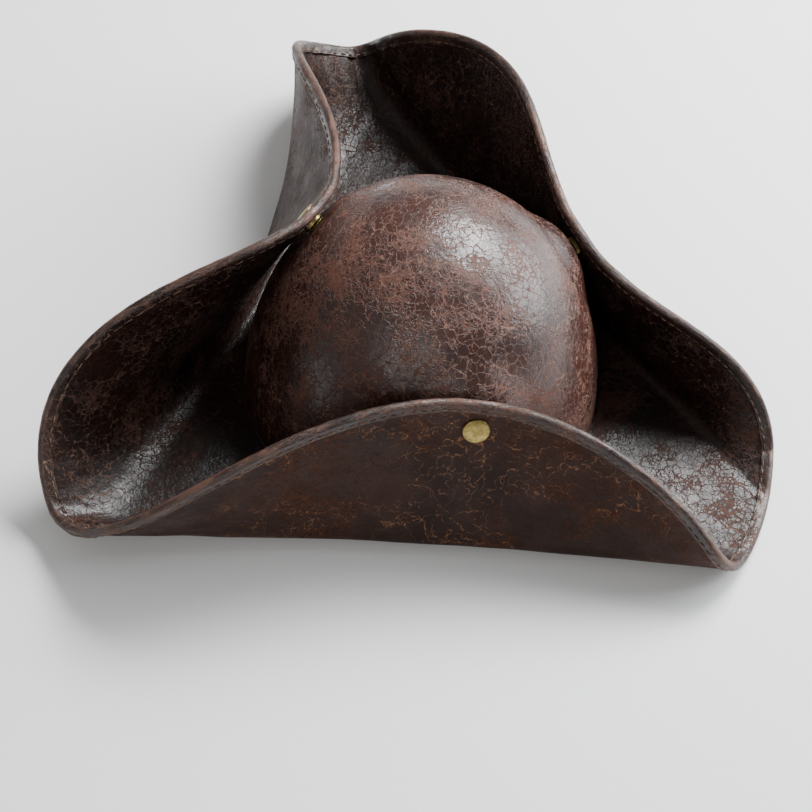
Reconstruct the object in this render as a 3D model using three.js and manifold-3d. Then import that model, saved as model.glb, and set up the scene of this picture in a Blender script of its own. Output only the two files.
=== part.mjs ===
// Three-cornered pirate hat in faux leather: a round dome crown, and one round brim that is
// folded up in three flaps, each held against the crown by a brass press stud.
// Lengths are in millimetres and angles in degrees. +Z is up. The origin is the centre of the
// head opening, in the plane of the brim's underside. An azimuth of 0 points along -Y (the
// front flap), and azimuths grow towards +X.
import * as THREE from 'three';
import Module from 'manifold-3d';
import { mergeVertices } from 'three/addons/utils/BufferGeometryUtils.js';

const wasm = await Module();
wasm.setup();

// Crown: an oval dome, made of a shell, a stiff interlining and a lining.
const CROWN_HALF_WIDTH = 97.5;
const CROWN_HALF_DEPTH = 98;
const CROWN_HEIGHT = 130;
const CROWN_SQUARENESS = 2.2;
const SHELL_THICKNESS = 1.0;
const INTERLINING_THICKNESS = 1.2;
const LINING_THICKNESS = 0.5;
const SWEATBAND_THICKNESS = 1.2;
const INNER_EDGE_LIFT = 1;
const LAYER_GAP = 0.3;

// Brim: two leather skins over a soft core, cut flat as a round that sits off centre. It is a
// little oval, and a little longer towards its three corners.
const BRIM_RADIUS = 212;
const BRIM_SHIFT = 15;
const BRIM_SHIFT_AZIMUTH = 65;
const BRIM_OVAL = 7;
const BRIM_OVAL_AZIMUTH = 19;
const BRIM_LOBE = 7;
const BRIM_LOBE_AZIMUTH = -4;
const SKIN_THICKNESS = 0.9;
const CORE_THICKNESS = 1.4;
const OPENING_CLEARANCE = 1.4;
const NORMAL_STEP = 0.05;
const BRIM_HALF = SKIN_THICKNESS + LAYER_GAP + CORE_THICKNESS / 2;

// The brim lies flat round the opening, and its three corners rise a little towards the tips.
const CORNER_LIFTS = [[180, 10], [62, 3.5], [-60, 3.5]];
const LIFT_START = 130;
const LIFT_REACH = 80;
const FLAT_RADIUS = 128;

// Hem: a strip folded round the brim's edge.
const HEM_WIDTH = 6;
const HEM_THICKNESS = 0.8;
const HEM_INSET = 2;
const HEM_GAP = 1;
const HEM_ROUNDING = 0.55;

// Flaps. Each one is folded up along a straight line at `distance` from the crown's centre.
// The fold's radius and its angle change with a, the place along the fold in units of FOLD_UNIT:
// radius = r0 + r1 a^2, and angle = t0 + t1 a + t2 a^2 + t3 a^3.
const FLAPS = {
  front: { azimuth: -1.5, distance: 100, radius: [8.5, 5], angle: [107, 14, -9, 1], stud: 6 },
  right: { azimuth: 128, distance: 99.5, radius: [6, 3], angle: [100, -21, -22, 17], stud: 123 },
  left: { azimuth: -114, distance: 100, radius: [10, 17], angle: [113, -12, -24, 0], stud: -116 },
};
const FOLD_UNIT = 100;
const FLAP_ORDER = ['front', 'right', 'left'];
const CORNER_AFTER = { front: 'right_corner', right: 'back_corner', left: 'left_corner' };
const FOLD_RADIUS_MIN = 6;
const FOLD_ANGLE_RANGE = [20, 150];
const FLAP_HALF_LENGTH = 140;
const HINGE_INTO_FOLD = 6.5;
const HINGE_GAP = 1;
const END_GAP = 4;

// Press studs, laid out along their axis from the middle of the flap outwards.
const STUD_FROM_RIM = 17;
const STUD_HOLE_RADIUS = 2.1;
const STUD_HOLE_LENGTH = 40;
const CROWN_SEAT = -6.3;
const SEAT_RADIUS = 13;
const SEAT_REACH = 32;
const SEAT_SIDE = 40;
const SNAP_SIDES = 14;

// Mesh resolution.
const FLAP_COLUMNS = 4;
const CORNER_COLUMNS = 8;
const CROWN_ROWS = [1, 0.95, 0.86, 0.79, 0.72, 0.65, 0.58, 0.51, 0.42, 0.24, 0.12, 0];
const SWEATBAND_ROWS = [0.24, 0.12, 0];
const STUD_COLUMNS = [-14, -9, -4.5, 0, 4.5, 9, 14];
const CROWN_FILL_COLUMNS = 4;
const FOLD_ROWS = [0, 2.4, 4.8];
const STUD_CELL = 9;
const STUD_ROWS_WITHIN = 60;
const HEM_LAP = 0.5;
const SHORTEST_ROW = 0.3;
const CORNER_HINGE_FROM_RIM = 18;
const RIM_SEARCH_PASSES = 40;
const WELD_DIGITS = 5;

const { degToRad, clamp, lerp, smoothstep } = THREE.MathUtils;
const Z_AXIS = new THREE.Vector3(0, 0, 1);
const LATHE_AXIS = new THREE.Vector3(0, 1, 0);

const MATERIALS = {
  leather: { color: 0x4a2c20, roughness: 0.45, metalness: 0 },
  dark_leather: { color: 0x3a251c, roughness: 0.6, metalness: 0 },
  hem: { color: 0x5a3a2a, roughness: 0.5, metalness: 0 },
  felt: { color: 0x2c2622, roughness: 1, metalness: 0 },
  lining: { color: 0x1d1a19, roughness: 0.7, metalness: 0 },
  sweatband: { color: 0x2a211d, roughness: 0.6, metalness: 0 },
  brass: { color: 0x8f7a3c, roughness: 0.35, metalness: 1 },
};

const hat = new THREE.Group();

function addPiece(name, geometry, look) {
  const mesh = new THREE.Mesh(geometry, new THREE.MeshStandardMaterial(MATERIALS[look]));
  mesh.name = name;
  hat.add(mesh);
  return mesh;
}

// ---- The folded brim ----------------------------------------------------------------------

function direction(azimuth) {
  const angle = degToRad(azimuth);
  return new THREE.Vector2(Math.sin(angle), -Math.cos(angle));
}

function alongFold(azimuth) {
  const angle = degToRad(azimuth);
  return new THREE.Vector2(Math.cos(angle), Math.sin(angle));
}

function azimuthOf(point) {
  return THREE.MathUtils.radToDeg(Math.atan2(point.x, -point.y));
}

// Radius of the flat brim's outer edge.
function rimRadius(azimuth) {
  const shift = BRIM_SHIFT * Math.cos(degToRad(azimuth - BRIM_SHIFT_AZIMUTH));
  const oval = BRIM_OVAL * Math.cos(2 * degToRad(azimuth - BRIM_OVAL_AZIMUTH));
  const lobe = BRIM_LOBE * Math.cos(3 * degToRad(azimuth - BRIM_LOBE_AZIMUTH));
  return BRIM_RADIUS - shift + oval - lobe;
}

// A point of the flat brim, carried to its place on the folded brim's middle surface.
function foldedPoint(flat) {
  const place = new THREE.Vector3(flat.x, flat.y, BRIM_HALF);
  for (const [azimuth, lift] of CORNER_LIFTS) {
    const out = Math.max((flat.dot(direction(azimuth)) - LIFT_START) / LIFT_REACH, 0);
    place.z += lift * out * out;
  }
  for (const flap of Object.values(FLAPS)) {
    const outward = direction(flap.azimuth);
    const beyond = Math.max(flat.dot(outward) - flap.distance, 0);
    const a = flat.dot(alongFold(flap.azimuth)) / FOLD_UNIT;
    const radius = Math.max(flap.radius[0] + flap.radius[1] * a * a, FOLD_RADIUS_MIN);
    const turn = flap.angle.reduceRight((sum, term) => sum * a + term);
    const fullTurn = degToRad(clamp(turn, ...FOLD_ANGLE_RANGE));
    const bent = Math.min(beyond / radius, fullTurn);
    const straight = Math.max(beyond - radius * fullTurn, 0);
    const out = radius * Math.sin(bent) + straight * Math.cos(fullTurn);
    const up = radius * (1 - Math.cos(bent)) + straight * Math.sin(fullTurn);
    place.x += (out - beyond) * outward.x;
    place.y += (out - beyond) * outward.y;
    place.z += up;
  }
  return place;
}

function brimNormal(flat) {
  const east = foldedPoint(new THREE.Vector2(flat.x + NORMAL_STEP, flat.y));
  const west = foldedPoint(new THREE.Vector2(flat.x - NORMAL_STEP, flat.y));
  const north = foldedPoint(new THREE.Vector2(flat.x, flat.y + NORMAL_STEP));
  const south = foldedPoint(new THREE.Vector2(flat.x, flat.y - NORMAL_STEP));
  return east.sub(west).cross(north.sub(south)).normalize();
}

function brimPoint(flat, height) {
  return seated(foldedPoint(flat).addScaledVector(brimNormal(flat), height), -height);
}

// ---- Closed solids from a grid of cells ---------------------------------------------------

// Makes a closed solid from the cells of a grid that wraps round in its columns. place(column,
// row, side) gives a point on the lower (0) or upper (1) face, and has(column, row) says which
// cells belong to the piece. Walls are added where a cell has no neighbour.
function gridSolid(columns, rows, place, has) {
  const positions = [];
  const known = new Map();
  const indices = [];
  const vertex = (column, row, side) => {
    const point = place(column % columns, row, side);
    const key = point.toArray().map((value) => value.toFixed(WELD_DIGITS)).join();
    if (!known.has(key)) {
      known.set(key, positions.length / 3);
      positions.push(point.x, point.y, point.z);
    }
    return known.get(key);
  };
  const triangle = (a, b, c) => {
    if (a !== b && b !== c && a !== c) indices.push(a, b, c);
  };
  const quad = (a, b, c, d) => {
    triangle(a, b, c);
    triangle(a, c, d);
  };
  const present = (column, row) => {
    return row >= 0 && row < rows - 1 && has((column + columns) % columns, row);
  };
  for (let column = 0; column < columns; column += 1) {
    for (let row = 0; row < rows - 1; row += 1) {
      if (!present(column, row)) continue;
      const corners = [[column, row], [column, row + 1], [column + 1, row + 1], [column + 1, row]];
      const lower = corners.map(([i, j]) => vertex(i, j, 0));
      const upper = corners.map(([i, j]) => vertex(i, j, 1));
      quad(...upper);
      triangle(lower[0], lower[2], lower[1]);
      triangle(lower[0], lower[3], lower[2]);
      const neighbours = [[column - 1, row], [column, row + 1], [column + 1, row], [column, row - 1]];
      neighbours.forEach(([i, j], edge) => {
        if (present(i, j)) return;
        const next = (edge + 1) % 4;
        quad(upper[next], upper[edge], lower[edge], lower[next]);
      });
    }
  }
  const geometry = new THREE.BufferGeometry();
  geometry.setAttribute('position', new THREE.Float32BufferAttribute(positions, 3));
  geometry.setIndex(indices);
  return geometry;
}

function toManifold(geometry) {
  const bare = geometry.clone();
  bare.deleteAttribute('normal');
  bare.deleteAttribute('uv');
  const merged = mergeVertices(bare, 10 ** -WELD_DIGITS);
  return new wasm.Manifold(new wasm.Mesh({
    numProp: 3,
    vertProperties: merged.attributes.position.array,
    triVerts: Uint32Array.from(merged.index.array),
  }));
}

function fromManifold(solid) {
  const mesh = solid.getMesh();
  const geometry = new THREE.BufferGeometry();
  geometry.setAttribute('position', new THREE.BufferAttribute(mesh.vertProperties, 3));
  geometry.setIndex(new THREE.BufferAttribute(mesh.triVerts, 1));
  return geometry;
}

// ---- Press studs --------------------------------------------------------------------------

function studPlace(flapName) {
  const flap = FLAPS[flapName];
  const flat = direction(flap.stud).multiplyScalar(rimRadius(flap.stud) - STUD_FROM_RIM);
  return { centre: foldedPoint(flat), axis: brimNormal(flat).negate() };
}

const STUDS = Object.fromEntries(FLAP_ORDER.map((name) => [name, studPlace(name)]));

// Brim and crown both have a small flat seat round each press stud. A point near a stud is
// drawn along the stud's axis to the given level on it.
function seated(point, level) {
  for (const stud of Object.values(STUDS)) {
    const offset = point.clone().sub(stud.centre);
    const along = offset.dot(stud.axis);
    if (Math.abs(along) > SEAT_SIDE) continue;
    const aside = offset.addScaledVector(stud.axis, -along).length();
    const pull = 1 - smoothstep(aside, SEAT_RADIUS, SEAT_REACH);
    point.addScaledVector(stud.axis, pull * (level - along));
  }
  return point;
}

function placeOnStud(object, stud) {
  object.position.copy(stud.centre);
  object.quaternion.setFromUnitVectors(LATHE_AXIS, stud.axis);
}

function withStudHole(geometry, stud) {
  const drill = new THREE.CylinderGeometry(
    STUD_HOLE_RADIUS,
    STUD_HOLE_RADIUS,
    STUD_HOLE_LENGTH,
    SNAP_SIDES,
  );
  const holder = new THREE.Object3D();
  placeOnStud(holder, stud);
  holder.updateMatrix();
  drill.applyMatrix4(holder.matrix);
  return fromManifold(toManifold(geometry).subtract(toManifold(drill)));
}

function turned(points) {
  const outline = points.map(([radius, height]) => new THREE.Vector2(radius, height));
  return new THREE.LatheGeometry(outline, SNAP_SIDES);
}

// Each profile is radius against height along the stud's axis. The height is 0 at the middle
// of the flap, positive outwards and negative towards the crown.
const SNAP_PROFILES = {
  cap: [
    [0, -2.7], [1.7, -2.7], [1.7, 2.2], [7.1, 2.2], [7.1, 2.7], [6.3, 3.3], [3.9, 3.7], [0, 3.9],
  ],
  socket: [
    [5.8, -4.9], [5.8, -2.2], [2.1, -2.2], [2.1, -2.9], [3.6, -2.9], [3.6, -4.9], [5.8, -4.9],
  ],
  stud: [
    [5.5, -6], [5.5, -5.3], [3, -5.2], [3.1, -4.4], [2.8, -3.3], [2.1, -3.2], [2.1, -6], [5.5, -6],
  ],
  post: [[0, -10.9], [3, -10.8], [5.5, -10.2], [5.5, -9.9], [1.7, -9.9], [1.7, -4.2], [0, -4.2]],
};

function addSnap(flapName) {
  for (const [piece, profile] of Object.entries(SNAP_PROFILES)) {
    placeOnStud(addPiece(`${flapName}_snap_${piece}`, turned(profile), 'brass'), STUDS[flapName]);
  }
}

// ---- Crown --------------------------------------------------------------------------------

function domePoint(azimuth, height) {
  const level = Math.min(height / CROWN_HEIGHT, 1);
  const size = (1 - level * level) ** (1 / CROWN_SQUARENESS);
  const way = direction(azimuth);
  return new THREE.Vector3(CROWN_HALF_WIDTH * size * way.x, CROWN_HALF_DEPTH * size * way.y, height);
}

function domeNormal(azimuth, height) {
  if (height >= CROWN_HEIGHT) return Z_AXIS.clone();
  const step = 0.01;
  const low = Math.max(height - step, 0);
  const sideways = domePoint(azimuth + 1, height).sub(domePoint(azimuth - 1, height));
  const upward = domePoint(azimuth, Math.min(height + step, CROWN_HEIGHT)).sub(domePoint(azimuth, low));
  return sideways.cross(upward).normalize();
}

function crownPoint(azimuth, height, depth) {
  const point = domePoint(azimuth, height).addScaledVector(domeNormal(azimuth, height), -depth);
  return seated(point, CROWN_SEAT - depth);
}

function crownAzimuths() {
  const studs = FLAP_ORDER.map((name) => azimuthOf(STUDS[name].centre)).sort((a, b) => a - b);
  const azimuths = [];
  studs.forEach((stud, index) => {
    for (const offset of STUD_COLUMNS) azimuths.push(stud + offset);
    const next = index + 1 < studs.length ? studs[index + 1] : studs[0] + 360;
    const start = stud + STUD_COLUMNS.at(-1);
    const end = next + STUD_COLUMNS[0];
    for (let step = 1; step <= CROWN_FILL_COLUMNS; step += 1) {
      azimuths.push(lerp(start, end, step / (CROWN_FILL_COLUMNS + 1)));
    }
  });
  return azimuths;
}

function crownLayer(heights, depth, thickness) {
  const azimuths = crownAzimuths();
  const place = (column, row, side) => {
    return crownPoint(azimuths[column], heights[row], side ? depth : depth + thickness);
  };
  return gridSolid(azimuths.length, heights.length, place, () => true);
}

function addCrown() {
  const full = CROWN_ROWS.map((level) => level * CROWN_HEIGHT);
  const inner = full.map((height) => Math.max(height, INNER_EDGE_LIFT));
  const layers = [
    ['crown_shell', full, SHELL_THICKNESS, 'leather'],
    ['crown_interlining', inner, INTERLINING_THICKNESS, 'felt'],
    ['crown_lining', inner, LINING_THICKNESS, 'lining'],
  ];
  let depth = 0;
  for (const [name, heights, thickness, look] of layers) {
    let geometry = crownLayer(heights, depth, thickness);
    for (const stud of Object.values(STUDS)) geometry = withStudHole(geometry, stud);
    addPiece(name, geometry, look);
    depth += thickness + LAYER_GAP;
  }
  const bandHeights = SWEATBAND_ROWS.map((level) => Math.max(level * CROWN_HEIGHT, INNER_EDGE_LIFT));
  addPiece('sweatband', crownLayer(bandHeights, depth, SWEATBAND_THICKNESS), 'sweatband');
}

// ---- Brim pieces --------------------------------------------------------------------------

// Where the line at a constant place along a fold meets the flat brim's edge.
function rimOnFoldLine(flap, a) {
  const outward = direction(flap.azimuth);
  const start = alongFold(flap.azimuth).multiplyScalar(a);
  let reach = BRIM_RADIUS / 2;
  for (let pass = 0; pass < RIM_SEARCH_PASSES; pass += 1) {
    const point = start.clone().addScaledVector(outward, reach);
    reach += rimRadius(azimuthOf(point)) - point.length();
  }
  return start.addScaledVector(outward, reach);
}

function hingePoint(flap, a) {
  const out = flap.distance + HINGE_INTO_FOLD;
  return direction(flap.azimuth).multiplyScalar(out).addScaledVector(alongFold(flap.azimuth), a);
}

// Between two flaps the corner's columns fan out from the ends of the two hinge lines.
function cornerColumns(flap, nextFlap) {
  const from = hingePoint(flap, FLAP_HALF_LENGTH + END_GAP);
  const to = hingePoint(nextFlap, -FLAP_HALF_LENGTH - END_GAP);
  const rimFrom = azimuthOf(rimOnFoldLine(flap, FLAP_HALF_LENGTH + END_GAP));
  const rimTo = azimuthOf(rimOnFoldLine(nextFlap, -FLAP_HALF_LENGTH - END_GAP));
  const span = (start, end) => (end - start + 360) % 360;
  const columns = [];
  for (let step = 1; step < CORNER_COLUMNS; step += 1) {
    const share = step / CORNER_COLUMNS;
    const azimuth = azimuthOf(from) + share * span(azimuthOf(from), azimuthOf(to));
    const rimAzimuth = rimFrom + share * span(rimFrom, rimTo);
    const reaches = [flap, nextFlap].map((one) => {
      const facing = Math.cos(degToRad(azimuth - one.azimuth));
      return facing > 0 ? (one.distance + HINGE_INTO_FOLD) / facing : Infinity;
    });
    const root = Math.min(...reaches, rimRadius(azimuth) - CORNER_HINGE_FROM_RIM);
    columns.push({
      hinge: direction(azimuth).multiplyScalar(root),
      rim: direction(rimAzimuth).multiplyScalar(rimRadius(rimAzimuth)),
    });
  }
  return columns;
}

// Each column runs from the opening to the hinge line, and from there to the rim. Its cell is
// the strip of brim between it and the next column.
function brimColumns() {
  const columns = [];
  FLAP_ORDER.forEach((name, index) => {
    const flap = FLAPS[name];
    const nextFlap = FLAPS[FLAP_ORDER[(index + 1) % FLAP_ORDER.length]];
    const stud = direction(flap.stud).multiplyScalar(rimRadius(flap.stud) - STUD_FROM_RIM);
    const studA = stud.dot(alongFold(flap.azimuth));
    const add = (a, strip) => columns.push({
      hinge: hingePoint(flap, a),
      rim: rimOnFoldLine(flap, a),
      strip,
      nearStud: Math.abs(a - studA) < STUD_ROWS_WITHIN,
    });
    add(-FLAP_HALF_LENGTH - END_GAP, 'gap');
    for (let step = 0; step <= FLAP_COLUMNS; step += 1) {
      add(lerp(-FLAP_HALF_LENGTH, studA - STUD_CELL, step / FLAP_COLUMNS), `${name}_flap`);
    }
    for (let step = 0; step < FLAP_COLUMNS; step += 1) {
      add(lerp(studA + STUD_CELL, FLAP_HALF_LENGTH, step / FLAP_COLUMNS), `${name}_flap`);
    }
    add(FLAP_HALF_LENGTH, 'gap');
    add(FLAP_HALF_LENGTH + END_GAP, CORNER_AFTER[name]);
    for (const column of cornerColumns(flap, nextFlap)) {
      columns.push({ ...column, strip: CORNER_AFTER[name] });
    }
  });
  return columns;
}

const COLUMNS = brimColumns();

function openingPoint(column) {
  const way = column.hinge.clone().normalize();
  return new THREE.Vector2(
    (CROWN_HALF_WIDTH + OPENING_CLEARANCE) * way.x,
    (CROWN_HALF_DEPTH + OPENING_CLEARANCE) * way.y,
  );
}

// The flat pattern's points down one column: those on the base, then those beyond the hinge.
function columnPoints(column) {
  const opening = openingPoint(column);
  const inward = column.hinge.clone().sub(opening);
  const baseLength = inward.length();
  inward.normalize();
  const outward = column.rim.clone().sub(column.hinge);
  const length = outward.length();
  outward.normalize();
  const foldStart = Math.max(baseLength - HINGE_INTO_FOLD, SHORTEST_ROW);
  const flatEdge = Math.min(FLAT_RADIUS - opening.length(), foldStart / 2);
  const baseAt = [0, flatEdge, foldStart, baseLength - HINGE_INTO_FOLD / 2, baseLength];
  const folded = FOLD_ROWS.at(-1);
  const hemEdge = length - HEM_WIDTH - HEM_LAP;
  const underStud = column.nearStud ? length - STUD_FROM_RIM - STUD_CELL : (folded + hemEdge) / 2;
  const outerAt = [...FOLD_ROWS, (folded + underStud) / 2, underStud, hemEdge, length - HEM_INSET];
  const base = baseAt.map((at, row) => {
    const back = row === baseAt.length - 1 ? HINGE_GAP / 2 : 0;
    return opening.clone().addScaledVector(inward, at - back);
  });
  const outer = outerAt.map((at, row) => {
    const forward = row === 0 ? HINGE_GAP / 2 : 0;
    return column.hinge.clone().addScaledVector(outward, at + forward);
  });
  return [...base, ...outer];
}

const COLUMN_POINTS = COLUMNS.map(columnPoints);
const BRIM_ROWS = COLUMN_POINTS[0].length;
const HINGE_ROW = 4;

function inBase(column, row) {
  return row < HINGE_ROW || COLUMNS[column].strip.endsWith('corner');
}

function inFlap(name) {
  return (column, row) => row > HINGE_ROW && COLUMNS[column].strip === `${name}_flap`;
}

function brimLayer(low, high, has) {
  const place = (column, row, side) => brimPoint(COLUMN_POINTS[column][row], side ? high : low);
  return gridSolid(COLUMNS.length, BRIM_ROWS, place, has);
}

function addBrim() {
  const core = CORE_THICKNESS / 2;
  const layers = [
    ['under_skin', 'outer_skin', -BRIM_HALF, -core - LAYER_GAP, 'dark_leather'],
    ['core', 'core', -core, core, 'felt'],
    ['upper_skin', 'inner_skin', core + LAYER_GAP, BRIM_HALF, 'leather'],
  ];
  for (const [baseName, flapLayer, low, high, look] of layers) {
    addPiece(`brim_${baseName}`, brimLayer(low, high, inBase), look);
    for (const name of FLAP_ORDER) {
      const sheet = brimLayer(low, high, inFlap(name));
      addPiece(`${name}_flap_${flapLayer}`, withStudHole(sheet, STUDS[name]), look);
    }
  }
}

// ---- Hem ----------------------------------------------------------------------------------

// The hem's section, as distance in from the rim against height off the brim's middle.
function hemSection() {
  const inside = BRIM_HALF + HEM_GAP;
  const outside = inside + HEM_THICKNESS;
  const round = outside * HEM_ROUNDING;
  return [
    [HEM_WIDTH, -outside], [round, -outside], [0, -round], [0, round], [round, outside],
    [HEM_WIDTH, outside], [HEM_WIDTH, inside], [HEM_THICKNESS, inside], [HEM_THICKNESS, -inside],
    [HEM_WIDTH, -inside],
  ];
}

// The triangles that close the section's end, as indices of its points.
const HEM_END = [[0, 1, 9], [1, 8, 9], [1, 2, 8], [2, 3, 8], [3, 7, 8], [3, 4, 7], [4, 6, 7], [4, 5, 6]];

// A strip of hem over a run of columns: the section swept along the rim, closed at both ends.
function hemStrip(columns) {
  const section = hemSection();
  const count = section.length;
  const positions = [];
  for (const column of columns) {
    const inward = column.hinge.clone().sub(column.rim).normalize();
    for (const [distance, height] of section) {
      positions.push(...brimPoint(column.rim.clone().addScaledVector(inward, distance), height));
    }
  }
  const indices = [];
  for (let ring = 0; ring < columns.length - 1; ring += 1) {
    for (let side = 0; side < count; side += 1) {
      const next = (side + 1) % count;
      const [a, b] = [ring * count + side, ring * count + next];
      const goingIn = section[next][0] > section[side][0];
      if (goingIn) indices.push(a, a + count, b, a + count, b + count, b);
      else indices.push(a, a + count, b + count, a, b + count, b);
    }
  }
  const end = (columns.length - 1) * count;
  for (const [a, b, c] of HEM_END) indices.push(a, b, c, end + a, end + c, end + b);
  const geometry = new THREE.BufferGeometry();
  geometry.setAttribute('position', new THREE.Float32BufferAttribute(positions, 3));
  geometry.setIndex(indices);
  return geometry;
}

function addHem() {
  const strips = [...FLAP_ORDER.map((name) => `${name}_flap`), ...Object.values(CORNER_AFTER)];
  for (const strip of strips) {
    const first = COLUMNS.findIndex((column) => column.strip === strip);
    const cells = COLUMNS.filter((column) => column.strip === strip).length;
    const steps = Array.from({ length: cells + 1 }, (_, step) => (first + step) % COLUMNS.length);
    addPiece(`${strip}_hem`, hemStrip(steps.map((step) => COLUMNS[step])), 'hem');
  }
}

addCrown();
addBrim();
addHem();
for (const name of FLAP_ORDER) addSnap(name);

export default hat;
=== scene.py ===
"""Looks for the three-cornered pirate hat: crackled faux leather, stitched hem, brass press
studs, satin lining. Shapes are worked out in millimetres and turned into metres when a mesh is
made. An azimuth of 0 points along -Y, at the front flap, and azimuths grow towards +X."""

import math

import bmesh
import bpy
import numpy as np
from mathutils import Matrix, Vector, noise


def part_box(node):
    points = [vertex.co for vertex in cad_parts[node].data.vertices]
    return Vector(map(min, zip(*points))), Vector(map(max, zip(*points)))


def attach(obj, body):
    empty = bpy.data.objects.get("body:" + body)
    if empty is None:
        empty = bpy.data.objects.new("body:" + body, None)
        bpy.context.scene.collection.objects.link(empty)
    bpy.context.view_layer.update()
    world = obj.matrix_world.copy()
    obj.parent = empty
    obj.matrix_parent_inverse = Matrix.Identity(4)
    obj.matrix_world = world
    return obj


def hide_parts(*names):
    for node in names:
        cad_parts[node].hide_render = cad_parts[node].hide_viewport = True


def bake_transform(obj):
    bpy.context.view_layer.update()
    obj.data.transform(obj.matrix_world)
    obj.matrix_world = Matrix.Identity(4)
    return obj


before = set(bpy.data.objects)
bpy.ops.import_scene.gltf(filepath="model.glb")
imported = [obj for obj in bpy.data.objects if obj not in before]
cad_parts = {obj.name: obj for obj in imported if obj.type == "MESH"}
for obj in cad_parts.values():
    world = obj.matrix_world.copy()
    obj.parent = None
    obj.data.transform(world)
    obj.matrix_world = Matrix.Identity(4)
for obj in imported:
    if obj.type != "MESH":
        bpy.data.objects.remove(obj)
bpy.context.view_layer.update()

MM = 0.001
rng = np.random.default_rng(7)

# ---- Sizes, as in the CAD model -------------------------------------------------------------

CROWN_HEIGHT = float(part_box("crown_shell")[1][2]) / MM
CROWN_HALF = np.array([97.5, 98.0])
CROWN_SQUARENESS = 2.2
SHELL_DEPTH = 2.5
LINING_DEPTH = 2.9
LINING_THICKNESS = 0.5
BAND_DEPTH = 3.7
BAND_THICKNESS = 1.1
BAND_HEIGHT = 31.0

BRIM_RADIUS = 212.0
BRIM_SHIFT, BRIM_SHIFT_AZIMUTH = 15.0, 65.0
BRIM_OVAL, BRIM_OVAL_AZIMUTH = 7.0, 19.0
BRIM_LOBE, BRIM_LOBE_AZIMUTH = 7.0, -4.0
BRIM_HALF = 1.9
OPENING_CLEARANCE = 1.4
CORNER_LIFTS = [(180, 10.0), (62, 3.5), (-60, 3.5)]
LIFT_START = 130.0
LIFT_REACH = 80.0

FLAPS = {
    "front": dict(azimuth=-1.5, distance=100, radius=(8.5, 5), angle=(107, 14, -9, 1), stud=6),
    "right": dict(azimuth=128, distance=99.5, radius=(6, 3), angle=(100, -21, -22, 17), stud=123),
    "left": dict(azimuth=-114, distance=100, radius=(10, 17), angle=(113, -12, -24, 0), stud=-116),
}
FOLD_UNIT = 100.0
FOLD_RADIUS_MIN = 6.0
FOLD_ANGLE_RANGE = (20, 150)
STUD_FROM_RIM = 17.0
CROWN_SEAT = -6.3
SEAT_RADIUS = 13.0
SEAT_REACH = 32.0
SEAT_SIDE = 40.0

# The brim is shown as three sectors that meet along the valleys of the three corners.
CORNERS = {"left": -62.0, "right": 67.5, "back": 190.5}
SECTORS = {"front": ("left", "right"), "right": ("right", "back"), "left": ("back", "left")}


# ---- The folded brim ------------------------------------------------------------------------


def direction(azimuth):
    angle = np.radians(azimuth)
    return np.stack([np.sin(angle), -np.cos(angle)], axis=-1)


def along_fold(azimuth):
    angle = np.radians(azimuth)
    return np.stack([np.cos(angle), np.sin(angle)], axis=-1)


def azimuth_of(flat):
    return np.degrees(np.arctan2(flat[..., 0], -flat[..., 1]))


def smooth(value, low, high):
    t = np.clip((value - low) / (high - low), 0, 1)
    return t * t * (3 - 2 * t)


def rim_radius(azimuth):
    shift = BRIM_SHIFT * np.cos(np.radians(azimuth - BRIM_SHIFT_AZIMUTH))
    oval = BRIM_OVAL * np.cos(2 * np.radians(azimuth - BRIM_OVAL_AZIMUTH))
    lobe = BRIM_LOBE * np.cos(3 * np.radians(azimuth - BRIM_LOBE_AZIMUTH))
    return BRIM_RADIUS - shift + oval - lobe


def folded(flat):
    """A point of the flat brim, carried to its place on the folded brim's middle surface."""
    place = np.concatenate([flat, np.full(flat.shape[:-1] + (1,), BRIM_HALF)], axis=-1)
    for azimuth, lift in CORNER_LIFTS:
        out = np.clip((flat @ direction(azimuth) - LIFT_START) / LIFT_REACH, 0, None)
        place[..., 2] += lift * out**2
    for flap in FLAPS.values():
        outward = direction(flap["azimuth"])
        beyond = np.clip(flat @ outward - flap["distance"], 0, None)
        a = flat @ along_fold(flap["azimuth"]) / FOLD_UNIT
        radius = np.maximum(flap["radius"][0] + flap["radius"][1] * a**2, FOLD_RADIUS_MIN)
        turn = np.polyval(flap["angle"][::-1], a)
        full_turn = np.radians(np.clip(turn, *FOLD_ANGLE_RANGE))
        bent = np.minimum(beyond / radius, full_turn)
        straight = np.clip(beyond - radius * full_turn, 0, None)
        out = radius * np.sin(bent) + straight * np.cos(full_turn)
        place[..., :2] += (out - beyond)[..., None] * outward
        place[..., 2] += radius * (1 - np.cos(bent)) + straight * np.sin(full_turn)
    return place


def brim_normal(flat):
    step = 0.05
    east = folded(flat + [step, 0]) - folded(flat - [step, 0])
    north = folded(flat + [0, step]) - folded(flat - [0, step])
    normal = np.cross(east, north)
    return normal / np.linalg.norm(normal, axis=-1, keepdims=True)


def stud_place(name):
    flap = FLAPS[name]
    flat = direction(flap["stud"]) * (rim_radius(flap["stud"]) - STUD_FROM_RIM)
    return folded(flat), -brim_normal(flat)


STUDS = {name: stud_place(name) for name in FLAPS}


def seated(points, level):
    """Draws points near a press stud along its axis, to the given level on it."""
    points = points.copy()
    for centre, axis in STUDS.values():
        offset = points - centre
        along = offset @ axis
        aside = np.linalg.norm(offset - along[..., None] * axis, axis=-1)
        pull = (1 - smooth(aside, SEAT_RADIUS * 0.6, SEAT_REACH)) * (np.abs(along) < SEAT_SIDE)
        points += (pull * (level - along))[..., None] * axis
    return points


def brim_point(flat, height):
    """height is how far the point lies off the brim's middle, towards its upper face."""
    height = np.broadcast_to(height, flat.shape[:-1])
    return seated(folded(flat) + brim_normal(flat) * height[..., None], -height)


# ---- Mesh helpers ---------------------------------------------------------------------------


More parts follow.
